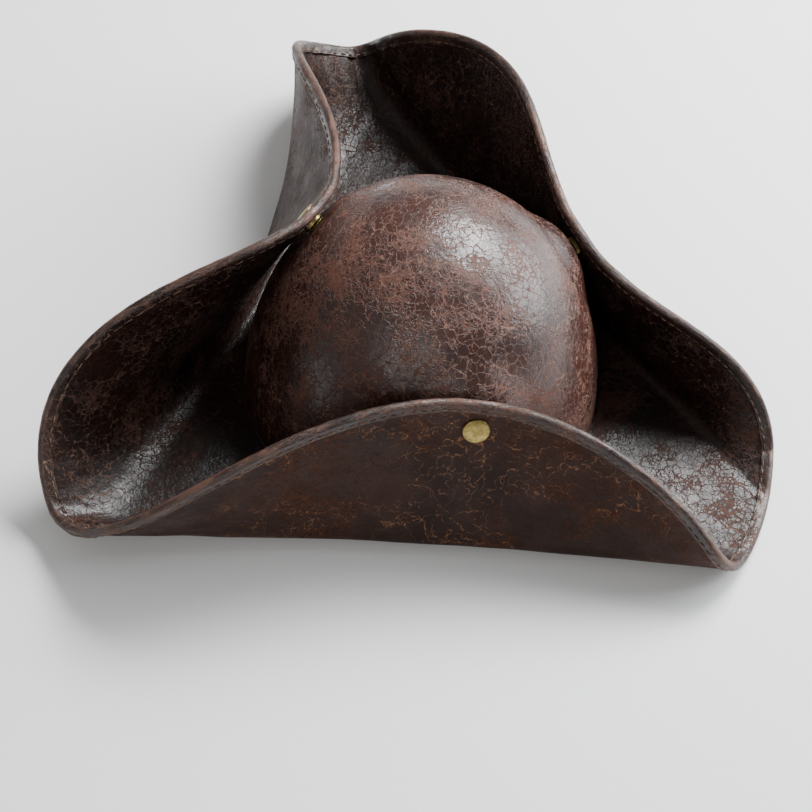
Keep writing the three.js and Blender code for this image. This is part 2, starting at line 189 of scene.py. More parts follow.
def make_mesh(name, points, faces, rest=None, wear=None, sharp=()):
    """A smooth-shaded object from points in millimetres. rest is where each point lies on the
    uncut material, which the materials' patterns follow."""
    mesh = bpy.data.meshes.new(name)
    mesh.from_pydata((np.asarray(points) * MM).tolist(), [], faces)
    mesh.validate()
    mesh.shade_smooth()
    rest = np.asarray(points if rest is None else rest) * MM
    pattern = mesh.attributes.new("rest", "FLOAT_VECTOR", "POINT")
    pattern.data.foreach_set("vector", np.ascontiguousarray(rest, np.float32).ravel())
    if wear is not None:
        attribute = mesh.attributes.new("wear", "FLOAT", "POINT")
        attribute.data.foreach_set("value", np.ascontiguousarray(wear, np.float32).ravel())
    if sharp:
        lookup = {tuple(sorted(edge.vertices)): edge.index for edge in mesh.edges}
        flags = mesh.attributes.new("sharp_edge", "BOOLEAN", "EDGE")
        for pair in sharp:
            index = lookup.get(tuple(sorted(pair)))
            if index is not None:
                flags.data[index].value = True
    piece = bpy.data.objects.new(name, mesh)
    bpy.context.scene.collection.objects.link(piece)
    return piece


def noise_at(points, size, seed):
    """Smooth noise from about -1 to 1 at each point, with features of the given size."""
    flat = np.asarray(points).reshape(-1, 3) / size + seed
    values = np.array([noise.noise(Vector(p)) for p in flat])
    return values.reshape(np.asarray(points).shape[:-1])


def sheet_faces(rows, columns, wrap):
    """Faces of a closed slab whose points are [side][column][row], with side 0 below. The
    columns run anticlockwise seen from above, and the rows run outwards."""
    faces, sharp = [], []
    size = rows * columns
    at = lambda side, column, row: side * size + (column % columns) * rows + row
    spans = columns if wrap else columns - 1
    for column in range(spans):
        for row in range(rows - 1):
            a, b = at(0, column, row), at(0, column, row + 1)
            c, d = at(0, column + 1, row + 1), at(0, column + 1, row)
            faces.append((d, c, b, a))
            faces.append((a + size, b + size, c + size, d + size))
    edges = []
    for column in range(spans):
        edges.append((at(0, column + 1, 0), at(0, column, 0)))
        edges.append((at(0, column, rows - 1), at(0, column + 1, rows - 1)))
    if not wrap:
        for row in range(rows - 1):
            edges.append((at(0, 0, row), at(0, 0, row + 1)))
            edges.append((at(0, columns - 1, row + 1), at(0, columns - 1, row)))
    for a, b in edges:
        faces.append((a, b, b + size, a + size))
        sharp += [(a, b), (a + size, b + size)]
    return faces, sharp


# ---- Camera, floor and lights ---------------------------------------------------------------

VIEW_AZIMUTH, VIEW_ELEVATION, VIEW_ROLL = -5.195, 54.556, 6.299
VIEW_DISTANCE = 1.2467
VIEW_TARGET = Vector((-0.0104, -0.0426, 0.0359))
FOCAL_SHARE = 2.8901


def add_camera():
    azimuth, elevation, roll = (math.radians(v) for v in (VIEW_AZIMUTH, VIEW_ELEVATION, VIEW_ROLL))
    flat = math.cos(elevation)
    back = Vector((math.sin(azimuth) * flat, -math.cos(azimuth) * flat, math.sin(elevation)))
    level = Vector((math.cos(azimuth), math.sin(azimuth), 0))
    upright = back.cross(level)
    right = level * math.cos(roll) + upright * math.sin(roll)
    up = upright * math.cos(roll) - level * math.sin(roll)
    data = bpy.data.cameras.new("camera")
    data.sensor_width = 36
    data.lens = FOCAL_SHARE * data.sensor_width
    camera = bpy.data.objects.new("camera", data)
    turn = Matrix((right, up, back)).transposed().to_4x4()
    camera.matrix_world = Matrix.Translation(VIEW_TARGET + back * VIEW_DISTANCE) @ turn
    bpy.context.scene.collection.objects.link(camera)
    bpy.context.scene.camera = camera


def add_light(name, place, aim, size, power, color=(1, 1, 1)):
    data = bpy.data.lights.new(name, "AREA")
    data.shape = "RECTANGLE"
    data.size, data.size_y = size
    data.energy = power
    data.color = color
    light = bpy.data.objects.new(name, data)
    light.location = place
    light.rotation_euler = (Vector(aim) - Vector(place)).to_track_quat("-Z", "Y").to_euler()
    bpy.context.scene.collection.objects.link(light)


def add_studio():
    bpy.ops.mesh.primitive_plane_add(size=8, location=(0, 0, -0.0005))
    floor = bpy.context.object
    floor.name = "floor"
    material = bpy.data.materials.new("floor")
    material.use_nodes = True
    shader = material.node_tree.nodes["Principled BSDF"]
    shader.inputs["Base Color"].default_value = (0.86, 0.86, 0.86, 1)
    shader.inputs["Roughness"].default_value = 0.9
    floor.data.materials.append(material)
    world = bpy.data.worlds.new("world")
    world.use_nodes = True
    world.node_tree.nodes["Background"].inputs["Color"].default_value = (1, 1, 1, 1)
    world.node_tree.nodes["Background"].inputs["Strength"].default_value = 0.34
    bpy.context.scene.world = world
    add_light("window", (1.15, 0.45, 0.62), (0, 0, 0.06), (1.0, 0.75), 32, (0.93, 0.97, 1.0))
    add_light("ceiling", (0.58, 0.80, 1.20), (0, 0, 0.03), (0.75, 0.6), 54)
    add_light("fill", (-0.5, -1.5, 1.2), (0, 0, 0.05), (1.2, 1.0), 8, (1.0, 0.98, 0.95))


add_camera()
add_studio()


# ---- Materials ------------------------------------------------------------------------------


class Shading:
    """A material under construction: short calls that add nodes and link them."""

    def __init__(self, name):
        self.material = bpy.data.materials.new(name)
        self.material.use_nodes = True
        self.tree = self.material.node_tree
        self.shader = self.tree.nodes["Principled BSDF"]

    def add(self, kind, settings=(), **inputs):
        made = self.tree.nodes.new("ShaderNode" + kind)
        for key, value in dict(settings).items():
            setattr(made, key, value)
        for key, value in inputs.items():
            self.put(made, key.replace("_", " "), value)
        return made

    def put(self, made, key, value):
        socket = made.inputs[int(key[1:])] if key[:1] == "n" and key[1:].isdigit() else made.inputs[key]
        if isinstance(value, bpy.types.NodeSocket):
            self.tree.links.new(value, socket)
        else:
            socket.default_value = value

    def math(self, operation, first, second=0.0, clamp=False):
        made = self.add("Math", {"operation": operation, "use_clamp": clamp}, n0=first, n1=second)
        return made.outputs[0]

    def vector_math(self, operation, **inputs):
        return self.add("VectorMath", {"operation": operation}, **inputs).outputs[0]

    def ramp(self, value, low, high, to_low=0.0, to_high=1.0):
        made = self.add(
            "MapRange",
            {"interpolation_type": "SMOOTHSTEP"},
            Value=value, From_Min=low, From_Max=high, To_Min=to_low, To_Max=to_high,
        )
        return made.outputs["Result"]

    def mix(self, share, first, second):
        made = self.add("Mix", {"data_type": "RGBA"})
        for key, value in ((0, share), (6, first), (7, second)):
            if isinstance(value, bpy.types.NodeSocket):
                self.tree.links.new(value, made.inputs[key])
            else:
                made.inputs[key].default_value = value if key == 0 else (*value, 1)
        return made.outputs[2]

    def rest(self):
        return self.add("Attribute", {"attribute_name": "rest"}).outputs["Vector"]

    def wear(self):
        return self.add("Attribute", {"attribute_name": "wear"}).outputs["Fac"]

    def noise(self, vector, scale, detail=3.0, roughness=0.55, distortion=0.0):
        return self.add(
            "TexNoise", Vector=vector, Scale=scale, Detail=detail, Roughness=roughness, Distortion=distortion
        )

    def edges(self, vector, scale):
        """How far a point lies from the nearest edge of a net of cells."""
        made = self.add("TexVoronoi", {"feature": "DISTANCE_TO_EDGE"}, Vector=vector, Scale=scale)
        return made.outputs["Distance"]

    def pushed(self, vector, color, amount):
        """The vector, pushed about by a noise color."""
        centred = self.vector_math("SUBTRACT", n0=color, n1=(0.5, 0.5, 0.5))
        sized = self.vector_math("SCALE", n0=centred, Scale=amount)
        return self.vector_math("ADD", n0=vector, n1=sized)

    def threads(self, vector, scale, width, distortion=0.0):
        """Thin wandering lines, where smooth noise passes its middle value."""
        value = self.noise(vector, scale, 2.0, 0.5, distortion).outputs["Fac"]
        off = self.math("ABSOLUTE", self.math("SUBTRACT", value, 0.5))
        return self.ramp(off, 0.0, width, 1.0, 0.0)

    def less_than(self, value, limit, soft):
        """1 where the value is under the limit, falling to 0 over a soft edge."""
        over = self.math("DIVIDE", self.math("SUBTRACT", value, limit), soft)
        under = self.math("SUBTRACT", 1.0, over, clamp=True)
        return self.math("MULTIPLY", under, self.ramp(limit, 0.0, 0.01))

    def bump(self, height, strength, distance, normal=None):
        made = self.add("Bump", Height=height, Strength=strength, Distance=distance)
        if normal is not None:
            self.tree.links.new(normal, made.inputs["Normal"])
        return made.outputs["Normal"]

    def finish(self, color, roughness, normal, **uniform):
        self.put(self.shader, "Base Color", color)
        self.put(self.shader, "Roughness", roughness)
        self.put(self.shader, "Normal", normal)
        for key, value in uniform.items():
            self.shader.inputs[key.replace("_", " ")].default_value = value
        return self.material


def leather(name, coat, base, fibre, gloss, flaked, cracked, scratched, specular):
    """Crackled faux leather: a glossy top coat broken by a net of cracks over a duller base, which
    shows more where the coat has flaked, with pale fibres where it is scratched. coat and base
    are each a darker and a lighter color. gloss is the coat's roughness. flaked moves the share
    of lost coat up or down, cracked sets how open the cracks are, and scratched moves the share
    of the fibres."""
    s = Shading(name)
    rest = s.rest()
    broad = s.add("SeparateColor", Color=s.noise(rest, 15.0, 4.0, 0.62).outputs["Color"]).outputs
    middle = s.noise(rest, 58.0, 5.0, 0.72).outputs["Color"]
    small = s.noise(rest, 430.0, 3.0, 0.7).outputs["Color"]
    warped = s.pushed(s.pushed(rest, middle, 0.0060), small, 0.0015)
    middle = s.add("SeparateColor", Color=middle).outputs
    small = s.add("SeparateColor", Color=small).outputs
    loss = s.math("ADD", s.math("MULTIPLY", broad[0], 0.6), s.math("MULTIPLY", middle[0], 0.4))
    loss = s.math("ADD", loss, flaked)
    wide_reach = s.ramp(loss, 0.44, 0.64, 0.004, 0.085 * cracked)
    fine_reach = s.ramp(loss, 0.49, 0.64, 0.0, 0.17 * cracked)
    bare = s.math(
        "MAXIMUM",
        s.less_than(s.edges(warped, 185.0), wide_reach, 0.022),
        s.less_than(s.edges(warped, 430.0), fine_reach, 0.035),
    )
    bare = s.math("MAXIMUM", bare, s.ramp(loss, 0.602, 0.632))
    lines = s.math("MAXIMUM", s.threads(warped, 48.0, 0.009), s.threads(warped, 110.0, 0.013))
    sparse = s.ramp(s.math("ADD", broad[1], scratched), 0.49, 0.60)
    scratch = s.math("MULTIPLY", lines, sparse)
    scratch = s.math("MULTIPLY", scratch, s.ramp(small[0], 0.40, 0.56))
    color = s.mix(s.ramp(s.math("ADD", broad[2], s.math("MULTIPLY", middle[1], 0.5)), 0.62, 0.88), *coat)
    shade = s.mix(s.ramp(small[1], 0.38, 0.62), *base)
    color = s.mix(s.math("MULTIPLY", bare, 0.85), color, shade)
    color = s.mix(s.math("MULTIPLY", scratch, 0.7), color, fibre)
    edge = s.math("MULTIPLY", s.wear(), s.ramp(middle[2], 0.44, 0.62))
    color = s.mix(edge, color, base[1])
    polished = s.ramp(middle[1], 0.36, 0.66, gloss + 0.08, gloss - 0.05)
    matt = s.math("MAXIMUM", bare, scratch)
    roughness = s.math("ADD", polished, s.math("MULTIPLY", matt, 0.42), clamp=True)
    relief = s.math("MULTIPLY", middle[0], 1.6)
    relief = s.math("ADD", relief, s.math("MULTIPLY", small[2], 0.28))
    relief = s.math("SUBTRACT", relief, s.math("MULTIPLY", bare, 0.30))
    normal = s.bump(relief, 0.85, 0.0007)
    return s.finish(color, roughness, normal, Specular_IOR_Level=specular)


def satin():
    s = Shading("lining_satin")
    rest = s.rest()
    stretched = s.vector_math("MULTIPLY", n0=rest, n1=(1.0, 1.0, 0.12))
    weave = s.noise(stretched, 1600.0, 2.0).outputs["Fac"]
    creases = s.noise(rest, 45.0, 4.0, 0.6).outputs["Fac"]
    color = s.mix(weave, (0.012, 0.010, 0.010), (0.030, 0.026, 0.026))
    roughness = s.ramp(weave, 0.3, 0.7, 0.34, 0.48)
    normal = s.bump(weave, 0.25, 0.0002)
    normal = s.bump(creases, 0.35, 0.002, normal)
    return s.finish(color, roughness, normal, Sheen_Weight=0.25, Anisotropic=0.5)


def ribbon():
    s = Shading("band_ribbon")
    rest = s.rest()
    split = s.add("SeparateXYZ", Vector=rest)
    ribs = s.math("SINE", s.math("MULTIPLY", split.outputs["Z"], 2 * math.pi / 0.0011))
    fuzz = s.noise(rest, 900.0, 3.0).outputs["Fac"]
    color = s.mix(fuzz, (0.020, 0.015, 0.012), (0.052, 0.040, 0.034))
    normal = s.bump(ribs, 0.5, 0.0002)
    normal = s.bump(fuzz, 0.3, 0.0002, normal)
    return s.finish(color, s.ramp(fuzz, 0.3, 0.7, 0.7, 0.9), normal, Sheen_Weight=0.3)


def brass():
    s = Shading("antique_brass")
    rest = s.rest()
    tarnish = s.noise(rest, 420.0, 5.0, 0.65).outputs["Fac"]
    scuffs = s.threads(rest, 900.0, 0.02, 1.0)
    color = s.mix(s.ramp(tarnish, 0.35, 0.68), (0.33, 0.255, 0.085), (0.19, 0.140, 0.048))
    color = s.mix(s.math("MULTIPLY", scuffs, 0.5), color, (0.50, 0.41, 0.18))
    roughness = s.ramp(tarnish, 0.3, 0.7, 0.30, 0.46)
    normal = s.bump(tarnish, 0.12, 0.0002)
    normal = s.bump(scuffs, 0.15, 0.00008, normal)
    return s.finish(color, roughness, normal, Metallic=1.0)


def cotton():
    s = Shading("stitch_thread")
    rest = s.rest()
    twist = s.noise(rest, 2600.0, 2.0).outputs["Fac"]
    soil = s.noise(rest, 60.0, 4.0, 0.6).outputs["Fac"]
    clean = s.mix(twist, (0.085, 0.045, 0.027), (0.190, 0.110, 0.066))
    color = s.mix(s.ramp(soil, 0.42, 0.62), clean, (0.038, 0.018, 0.012))
    return s.finish(color, s.ramp(twist, 0.3, 0.7, 0.55, 0.75), s.bump(twist, 0.5, 0.0002))


CROWN_LEATHER = leather(
    "crown_leather",
    coat=((0.021, 0.0068, 0.0046), (0.044, 0.0140, 0.0088)),
    base=((0.064, 0.0190, 0.0105), (0.118, 0.0390, 0.0205)),
    fibre=(0.24, 0.120, 0.075),
    gloss=0.29, flaked=0.012, cracked=1.0, scratched=0.045, specular=0.62,
)
# Same faux leather as the brim's underside, but with darker coat, base and fibre colours: that darkening is
# painted shade for the deep troughs between the flaps and the crown.
TROUGH_SHADED_UPPER_LEATHER = leather(
    "brim_top_leather",
    coat=((0.0075, 0.0031, 0.0024), (0.0170, 0.0064, 0.0044)),
    base=((0.030, 0.0105, 0.0065), (0.066, 0.0245, 0.0140)),
    fibre=(0.16, 0.085, 0.055),
    gloss=0.34, flaked=-0.012, cracked=0.9, scratched=0.01, specular=0.36,
)
UNDER_LEATHER = leather(
    "brim_under_leather",
    coat=((0.0150, 0.0054, 0.0035), (0.0285, 0.0104, 0.0064)),
    base=((0.040, 0.0145, 0.0085), (0.080, 0.0310, 0.0170)),
    fibre=(0.28, 0.135, 0.070),
    gloss=0.52, flaked=-0.014, cracked=0.60, scratched=0.060, specular=0.18,
)
HEM_LEATHER = leather(
    "hem_leather",
    coat=((0.0115, 0.0048, 0.0036), (0.0260, 0.0105, 0.0072)),
    base=((0.046, 0.0180, 0.0115), (0.105, 0.0480, 0.0310)),
    fibre=(0.24, 0.150, 0.110),
    gloss=0.36, flaked=0.0, cracked=0.8, scratched=0.03, specular=0.5,
)
SATIN = satin()
RIBBON = ribbon()
BRASS = brass()
THREAD = cotton()


def dress(piece, materials):
    for material in materials:
        piece.data.materials.append(material)
    return piece


# ---- Brim -----------------------------------------------------------------------------------

COLUMN_STEP = 0.6
FLAT_ROWS, FOLD_ROWS, WALL_ROWS = 12, 16, 34
FOLD_SPAN = 18.0
RIM_INSET = 1.2


def opening_radius(azimuth):
    way = direction(azimuth) * (CROWN_HALF + OPENING_CLEARANCE)
    return np.linalg.norm(way, axis=-1)


def fold_reach(azimuth, extra, margin):
    """Distance from the centre to the nearest fold line, moved out by extra."""
    reach = rim_radius(azimuth) - margin
    for flap in FLAPS.values():
        facing = np.cos(np.radians(azimuth - flap["azimuth"]))
        across = np.where(facing > 0.05, (flap["distance"] + extra) / np.maximum(facing, 0.05), np.inf)
        reach = np.minimum(reach, across)
    return reach


def sector_azimuths(name, step=COLUMN_STEP):
    start, end = (CORNERS[corner] for corner in SECTORS[name])
    if end < start:
        end += 360
    return np.linspace(start, end, int(round((end - start) / step)) + 1)


RIPPLE_STRENGTH = {"back": 1.0, "left": 0.8, "right": 0.45}
RIPPLE_SPREAD = 17.0
WAVE_REACH, WAVE_HEIGHT = 26.0, 0.9
PUCKER_REACH, PUCKER_HEIGHT = 17.0, 0.55


def off_corner(azimuth, corner):
    """Degrees from the corner, from -180 to 180."""
    return (azimuth - CORNERS[corner] + 180) % 360 - 180


def ripple(flat):
    """Puckers of the corners and the slow unevenness of a soft sheet, in millimetres."""
    azimuth = azimuth_of(flat)
    from_rim = rim_radius(azimuth) - np.linalg.norm(flat, axis=-1)
    solid = np.concatenate([flat, np.zeros(flat.shape[:-1] + (1,))], axis=-1)
    lift = 0.55 * noise_at(solid, 42.0, 3.1) + 0.22 * noise_at(solid, 17.0, 9.7)
    for corner, strength in RIPPLE_STRENGTH.items():
        off = off_corner(azimuth, corner)
        near = np.exp(-((off / RIPPLE_SPREAD) ** 2)) * np.exp(-from_rim / WAVE_REACH)
        wave = np.sin(np.radians(off) * 31.0 + 2.2 * noise_at(solid, 30.0, 5.5))
        lift = lift + strength * WAVE_HEIGHT * near * wave
        close = np.exp(-((off / RIPPLE_SPREAD) ** 2)) * np.exp(-from_rim / PUCKER_REACH)
        pucker = np.sin(np.radians(off) * 118.0 + 4.0 * noise_at(solid, 24.0, 7.7))
        lift = lift + strength * PUCKER_HEIGHT * close * pucker
    quiet = smooth(from_rim, -1.0, 9.0)
    return lift * (0.25 + 0.75 * quiet) * smooth(np.linalg.norm(flat, axis=-1), 98.0, 112.0)


def brim_grid(azimuths):
    """Flat pattern points, [column][row], from the opening to just inside the rim."""
    inner = opening_radius(azimuths)
    fold = fold_reach(azimuths, 0.0, 26.0)
    wall = fold_reach(azimuths, FOLD_SPAN, 14.0)
    rim = rim_radius(azimuths) - RIM_INSET
    fold = np.maximum(fold, inner + 0.4)
    wall = np.maximum(wall, fold + 1.0)
    spans = ((inner, fold, FLAT_ROWS), (fold, wall, FOLD_ROWS), (wall, rim, WALL_ROWS))
    reach = [low + (high - low) * step / count for low, high, count in spans for step in range(count)]
    reach = np.stack([*reach, rim], axis=-1)
    return direction(azimuths)[:, None, :] * reach[..., None]


def edge_wear(flat):
    from_rim = rim_radius(azimuth_of(flat)) - np.linalg.norm(flat, axis=-1)
    return np.clip(0.5 - from_rim / 26.0, 0, 0.5)


def follow_flap(piece):
    """Bakes the piece's placement into its mesh."""
    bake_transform(piece)


def build_brim(name, replaced):
    azimuths = sector_azimuths(name)
    flat = brim_grid(azimuths)
    lift = ripple(flat)
    columns, rows = flat.shape[:2]
    sides = [brim_point(flat, height + lift) for height in (-BRIM_HALF, BRIM_HALF)]
    faces, sharp = sheet_faces(rows, columns, False)
    points = np.concatenate([side.reshape(-1, 3) for side in sides])
    rest = [np.concatenate([flat, np.full(flat.shape[:2] + (1,), z)], axis=-1) for z in (-40.0, 0.0)]
    wear = np.concatenate([edge_wear(flat).ravel()] * 2)
    rest = np.concatenate([side.reshape(-1, 3) for side in rest])
    piece = make_mesh(f"brim_{name}", points, faces, rest, wear, sharp)
    # The upper face takes the leather darkened with painted shade for the troughs.
    dress(piece, [TROUGH_SHADED_UPPER_LEATHER, UNDER_LEATHER])
    under = columns * rows
    for face in piece.data.polygons:
        face.material_index = int(all(v < under for v in face.vertices))
    follow_flap(piece)
    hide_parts(*replaced)
    return piece, flat


def declare_sheet(name):
    """Works out the angle between the sector's first two columns; the result is not used."""
    turn = math.radians(sector_azimuths(name)[1] - sector_azimuths(name)[0])


HEM_LAP = 6.6
HEM_STEP = 0.55
STITCH_LINE = 5.1
CURL_STRENGTH = {"back": 1.0, "left": 1.1, "right": 1.0}
CURL_SPREAD, CURL_WAVE, CURL_TORN = 15.0, 0.35, 2.0


def hem_profile():
    """The hem's section: distance in from the rim against height. A bead round the edge, a
    dip along the stitches, and a lip that lies on the brim."""
    outer = []
    for angle in np.linspace(-100, 100, 15):
        turn = math.radians(angle)
        outer.append((2.2 - 2.3 * math.cos(turn), 2.62 * math.sin(turn)))
    top = [(3.2, 2.62), (4.3, 2.52), (STITCH_LINE, 2.30), (5.8, 2.50), (6.35, 2.48), (HEM_LAP, 2.2)]
    inside = [(HEM_LAP - 0.1, 1.7), (3.5, 1.75), (1.6, 1.5)]
    bottom = [(x, -y) for x, y in reversed(top)]
    lining = inside + [(x, -y) for x, y in reversed(inside)]
    return np.array(bottom + outer + top + lining)


def hem_lift(distance, height, azimuth):
    """How the hem's upper lip curls and puckers inside the corners."""
    curl = np.zeros_like(azimuth)
    for corner, strength in CURL_STRENGTH.items():
        off = off_corner(azimuth, corner)
        near = np.exp(-((off / CURL_SPREAD) ** 4))
        wave = np.sin(np.radians(off) * 118.0 + 3.0 * np.sin(np.radians(off) * 23.0))
        torn = np.maximum(np.sin(np.radians(off) * 71.0 + 1.3) * np.sin(np.radians(off) * 37.0 + 0.4), 0)
        curl = curl + strength * near * (CURL_WAVE * wave + CURL_TORN * torn)
    return curl * (height > 0) * smooth(distance, 3.0, HEM_LAP)


def build_hem(name, replaced):
    azimuths = sector_azimuths(name, HEM_STEP)
    section = hem_profile()
    count, columns = len(section), len(azimuths)
    way = direction(azimuths)[:, None, :]
    round_cut = np.concatenate([way[:, 0] * BRIM_RADIUS, np.zeros((columns, 1))], axis=-1)
    wander = 0.35 * noise_at(round_cut, 22.0, 1.9)
    distance = section[None, :, 0] + wander[:, None] * (section[None, :, 0] > 3)
    flat = way * (rim_radius(azimuths)[:, None] - distance)[..., None]
    height = np.broadcast_to(section[None, :, 1], distance.shape)
    at_edge = way * (rim_radius(azimuths)[:, None] - np.clip(distance, RIM_INSET, None))[..., None]
    lift = ripple(at_edge) + hem_lift(distance, height, np.broadcast_to(azimuths[:, None], distance.shape))
    round_rim = np.concatenate([flat, height[..., None]], axis=-1)
    uneven = 0.22 * noise_at(round_rim, 9.0, 4.2) + 0.12 * noise_at(round_rim, 3.4, 8.8)
    lift = lift + uneven * np.sign(height)
    points = brim_point(flat, height + lift).reshape(-1, 3)
    faces = []
    for column in range(columns - 1):
        for side in range(count):
            a, b = column * count + side, column * count + (side + 1) % count
            faces.append((a, a + count, b + count, b))
    faces.append(tuple(range(count)))
    faces.append(tuple(range(columns * count - 1, (columns - 1) * count - 1, -1)))
    rest = np.concatenate([flat, (height * 3.0 + 70.0)[..., None]], axis=-1).reshape(-1, 3)
    wear = np.clip(1.05 - distance / 2.4, 0.12, 1).ravel()
    ends = [(side, (side + 1) % count) for side in range(count)]
    last = (columns - 1) * count
    sharp = ends + [(a + last, b + last) for a, b in ends]
    piece = make_mesh(f"hem_{name}", points, faces, rest, wear, sharp)
    dress(piece, [HEM_LEATHER])
    follow_flap(piece)
    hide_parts(*replaced)
    return piece


STITCH_PITCH, STITCH_LENGTH, STITCH_RADIUS, STITCH_HEIGHT = 5.4, 4.3, 0.42, 2.3
STITCH_RINGS, STITCH_SIDES = 7, 8


def stitch_run(name, height):
    """One row of stitches along a sector's hem: each is a short thread that dives in at its ends."""
    start, end = (CORNERS[corner] for corner in SECTORS[name])
    end = end + 360 if end < start else end
    length = math.radians(end - start) * BRIM_RADIUS
    count = int(length / STITCH_PITCH)
    points, faces, rest = [], [], []
    for number in range(count):
        middle = start + (number + 0.5) * (end - start) / count
        half = math.degrees(STITCH_LENGTH / 2 / BRIM_RADIUS)
        slant = rng.normal(0, 0.14)
        share = np.linspace(-1, 1, STITCH_RINGS)
        azimuth = middle + share * half
        flat = direction(azimuth) * (rim_radius(azimuth) - STITCH_LINE - slant * share)[:, None]
        side = math.copysign(1, height)
        lift = ripple(flat)
        rise = side * (0.30 - 0.75 * np.abs(share) ** 4)
        curl = hem_lift(np.full(STITCH_RINGS, STITCH_LINE), np.full(STITCH_RINGS, height), azimuth)
        core = brim_point(flat, height + lift + rise + curl)
        up = brim_normal(flat)
        forward = np.gradient(core, axis=0)
        forward /= np.linalg.norm(forward, axis=1, keepdims=True)
        across = np.cross(up, forward)
        taper = STITCH_RADIUS * (1 - 0.72 * np.abs(share) ** 5)
        base = len(points)
        for ring in range(STITCH_RINGS):
            for k in range(STITCH_SIDES):
                turn = 2 * math.pi * k / STITCH_SIDES
                bulge = 1 + 0.10 * math.sin(ring * 2.1 + turn * 2)
                offset = across[ring] * math.cos(turn) + up[ring] * math.sin(turn) * 0.85
                points.append(core[ring] + offset * taper[ring] * bulge)
                rest.append([flat[ring, 0], flat[ring, 1], k * 0.4])
        for ring in range(STITCH_RINGS - 1):
            for k in range(STITCH_SIDES):
                a, b = base + ring * STITCH_SIDES + k, base + ring * STITCH_SIDES + (k + 1) % STITCH_SIDES
                faces.append((a, b, b + STITCH_SIDES, a + STITCH_SIDES))
        faces.append(tuple(base + k for k in reversed(range(STITCH_SIDES))))
        faces.append(tuple(base + (STITCH_RINGS - 1) * STITCH_SIDES + k for k in range(STITCH_SIDES)))
    label = "upper" if height > 0 else "outer"
    piece = make_mesh(f"stitches_{label}_{name}", points, faces, rest)
    dress(piece, [THREAD])
    follow_flap(piece)
    return piece


# ---- Crown ----------------------------------------------------------------------------------


def dome(azimuth, level):
    """A point of the crown's face, level 0 at the brim and 1 at the top, and its outward normal."""

    def place(azimuth, level):
        size = np.clip(1 - level**2, 0, None) ** (1 / CROWN_SQUARENESS)
        way = direction(azimuth) * CROWN_HALF * size[..., None]
        return np.concatenate([way, (level * CROWN_HEIGHT)[..., None]], axis=-1)

    step = 1e-4
    low, high = np.clip(level - step, 0, 1), np.clip(level + step, 0, 1)
    around = place(azimuth + 0.5, level) - place(azimuth - 0.5, level)
    upward = place(azimuth, high) - place(azimuth, low)
    normal = np.cross(around, upward)
    size = np.linalg.norm(normal, axis=-1, keepdims=True)
    normal = np.where(size > 1e-12, normal / np.maximum(size, 1e-12), [0, 0, 1])
    return place(azimuth, level), normal


CROWN_COLUMNS, CROWN_ROWS = 240, 84


def crown_sides(levels, outer, inner, relief):
    """The inner and outer faces of a layer between two depths inside the crown's face."""
    azimuths = np.arange(CROWN_COLUMNS) * 360 / CROWN_COLUMNS
    grid = np.meshgrid(azimuths, levels, indexing="ij")
    surface, normal = dome(*grid)
    bumps = relief(surface)
    sides = []
    for depth in (inner, outer):
        points = surface + normal * (bumps - depth)[..., None]
        sides.append(seated(points, CROWN_SEAT - depth + np.zeros_like(bumps)))
    return sides, surface


def cloth_relief(points):
    level = points[..., 2] / CROWN_HEIGHT
    uneven = 0.42 * noise_at(points, 55.0, 2.3) + 0.14 * noise_at(points, 21.0, 6.1) - 0.35
    return uneven * smooth(level, 0.02, 0.2)


def build_crown():
    turn = np.linspace(math.pi / 2, 0, CROWN_ROWS)
    levels = np.sin(turn)
    levels[0] = 1.0
    sides, surface = crown_sides(levels, 0.0, SHELL_DEPTH, cloth_relief)
    faces, sharp = sheet_faces(CROWN_ROWS, CROWN_COLUMNS, True)
    points = np.concatenate([side.reshape(-1, 3) for side in sides])
    rest = np.concatenate([surface.reshape(-1, 3)] * 2)
    piece = make_mesh("crown", points, faces, rest, np.zeros(len(points)), sharp)
    weld(piece)
    dress(piece, [CROWN_LEATHER])
    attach(piece, "crown")
    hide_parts("crown_shell", "crown_interlining")


def weld(piece):
    """Joins the points that fall together at the top of a dome."""
    mesh = bmesh.new()
    mesh.from_mesh(piece.data)
    bmesh.ops.remove_doubles(mesh, verts=mesh.verts, dist=1e-6)
    bmesh.ops.dissolve_degenerate(mesh, dist=1e-7, edges=mesh.edges)
    mesh.to_mesh(piece.data)
    mesh.free()


LINING_GORES = 6


def lining_relief(points):
    azimuth = azimuth_of(points[..., :2])
    level = points[..., 2] / CROWN_HEIGHT
    low = 1 - smooth(level, 0.15, 0.95)
    pleats = 0.35 * np.sin(np.radians(azimuth) * 48 + 2 * noise_at(points, 40.0, 4.4)) * low
    seam = np.abs((azimuth * LINING_GORES / 360) % 1 - 0.5) * 2
    tuck = -0.5 * np.exp(-(((1 - seam) * 60 / LINING_GORES / 1.4) ** 2)) * smooth(1 - level, 0.02, 0.2)
    return pleats + tuck


def build_lining():
    turn = np.linspace(math.pi / 2, 0.008, CROWN_ROWS)
    levels = np.sin(turn)
    levels[0] = 1.0
    sides, surface = crown_sides(levels, LINING_DEPTH, LINING_DEPTH + LINING_THICKNESS, lining_relief)
    faces, sharp = sheet_faces(CROWN_ROWS, CROWN_COLUMNS, True)
    points = np.concatenate([side.reshape(-1, 3) for side in sides])
    rest = np.concatenate([surface.reshape(-1, 3)] * 2)
    piece = make_mesh("lining", points, faces, rest, None, sharp)
    weld(piece)
    dress(piece, [SATIN])
    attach(piece, "crown")
    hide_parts("crown_lining")


